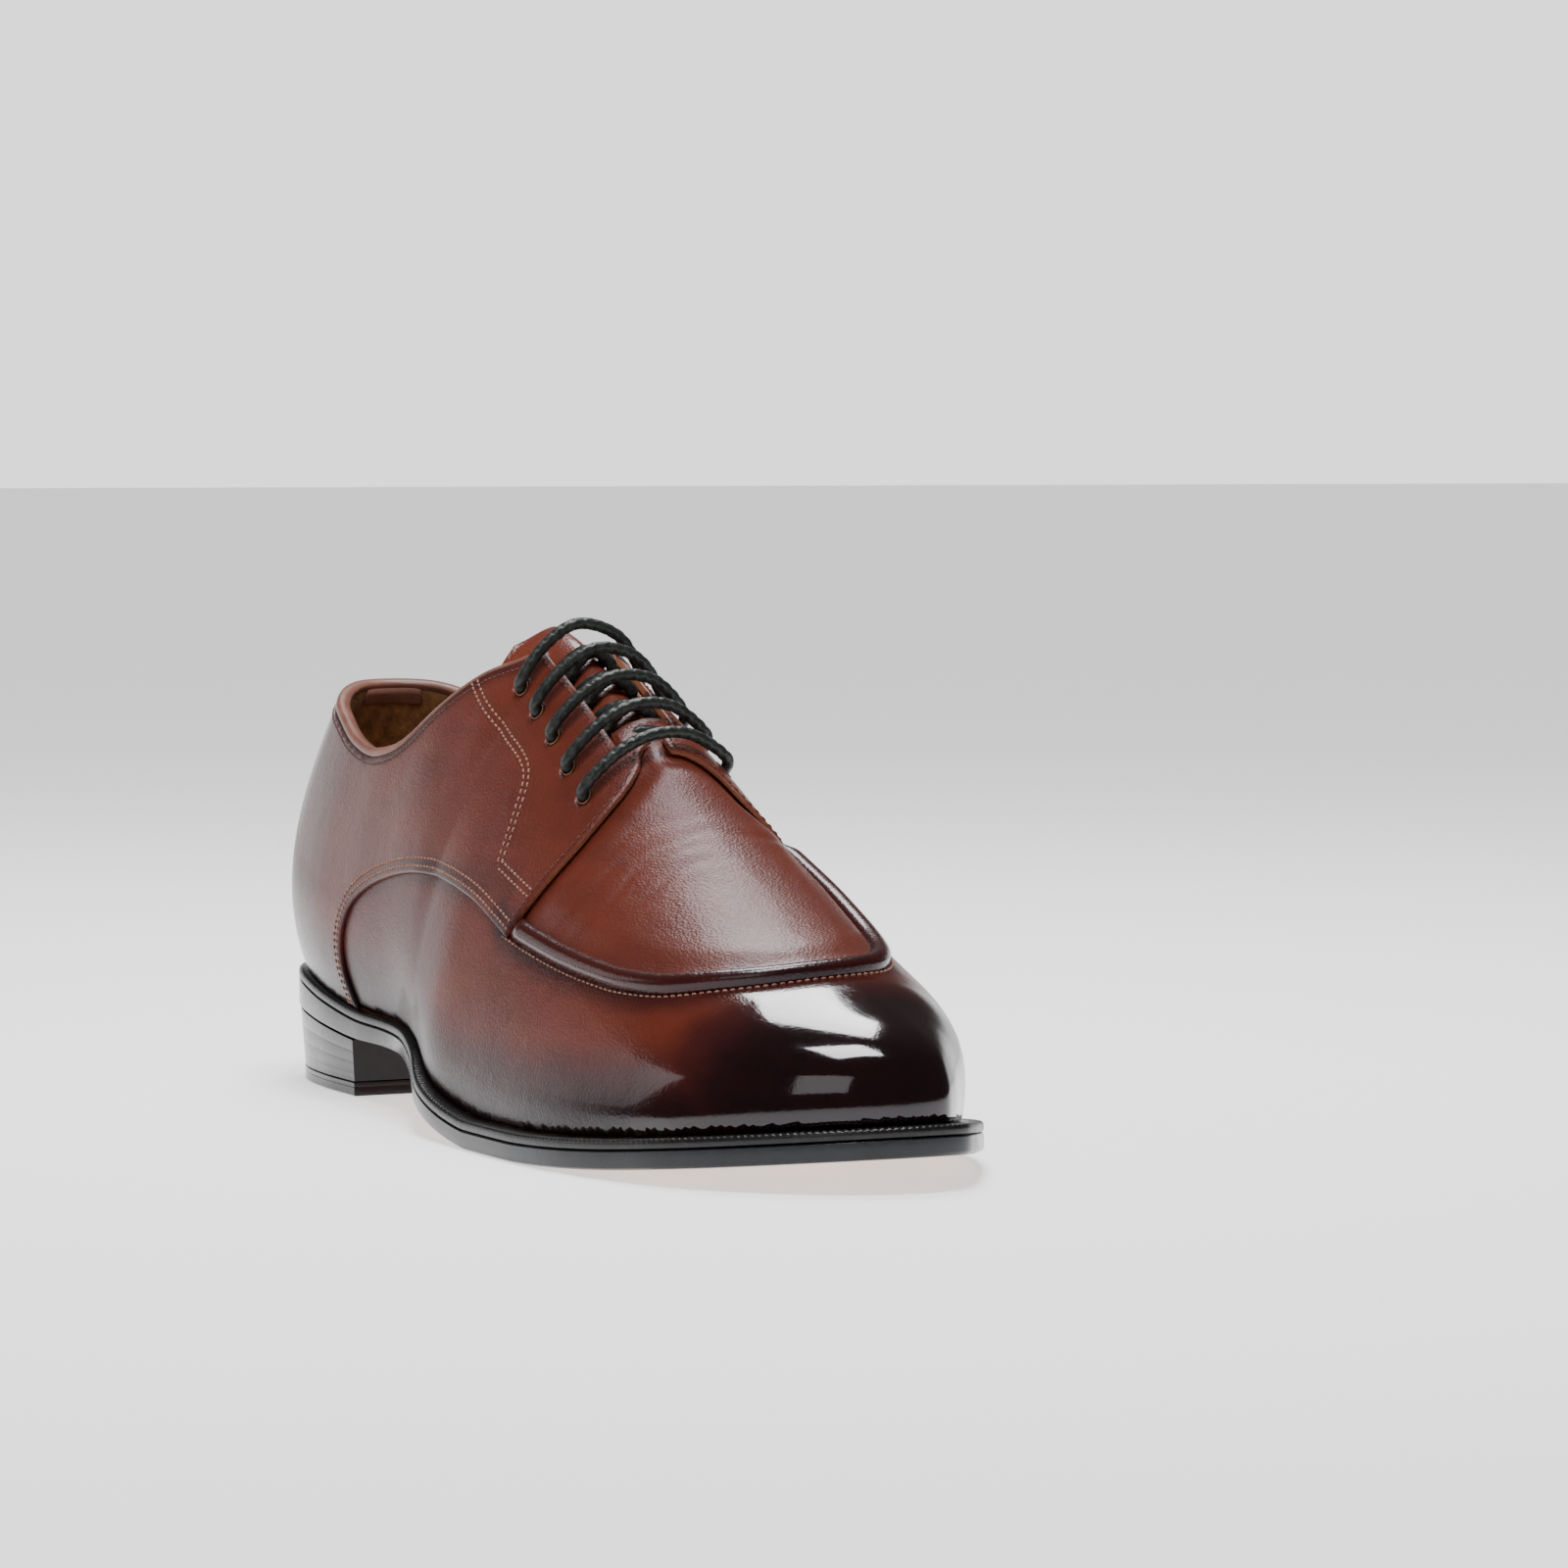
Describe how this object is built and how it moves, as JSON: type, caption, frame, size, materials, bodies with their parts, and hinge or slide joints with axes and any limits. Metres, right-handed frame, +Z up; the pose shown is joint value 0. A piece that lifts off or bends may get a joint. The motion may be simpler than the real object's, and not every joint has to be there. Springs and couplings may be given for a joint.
{
  "type": "derby shoe",
  "caption": "Apron-toe derby dress shoe in burnished leather with open lacing, welted leather sole and stacked heel.",
  "frame": {"origin": "middle of the heel's tread, on the floor", "axes": "+X from heel to toe, +Y to the wearer's left, which is the inner side of this right shoe, +Z up"},
  "size_m": [0.2974, 0.0976, 0.1188],
  "materials": {
    "upper": "polished calf, burnished dark at the toe and seams",
    "sole": "sole leather, edges dyed and polished black",
    "heel": "stacked leather, dyed and polished black",
    "sock": "natural tan, matte",
    "lace": "waxed round braid, dark green-black"
  },
  "bodies": {
    "root": {"top_lift": "heel", "heel_stack": "heel", "outsole": "sole", "welt": "sole", "insole": "sock", "upper": "upper", "tongue": "upper", "heel_tab": "upper", "lace_bar_1": "lace", "lace_bar_2": "lace", "lace_bar_3": "lace", "lace_bar_4": "lace", "lace_bar_5": "lace", "lace_cross_1": "lace", "lace_cross_2": "lace", "lace_cross_3": "lace", "lace_cross_4": "lace"}
  },
  "joints": []
}
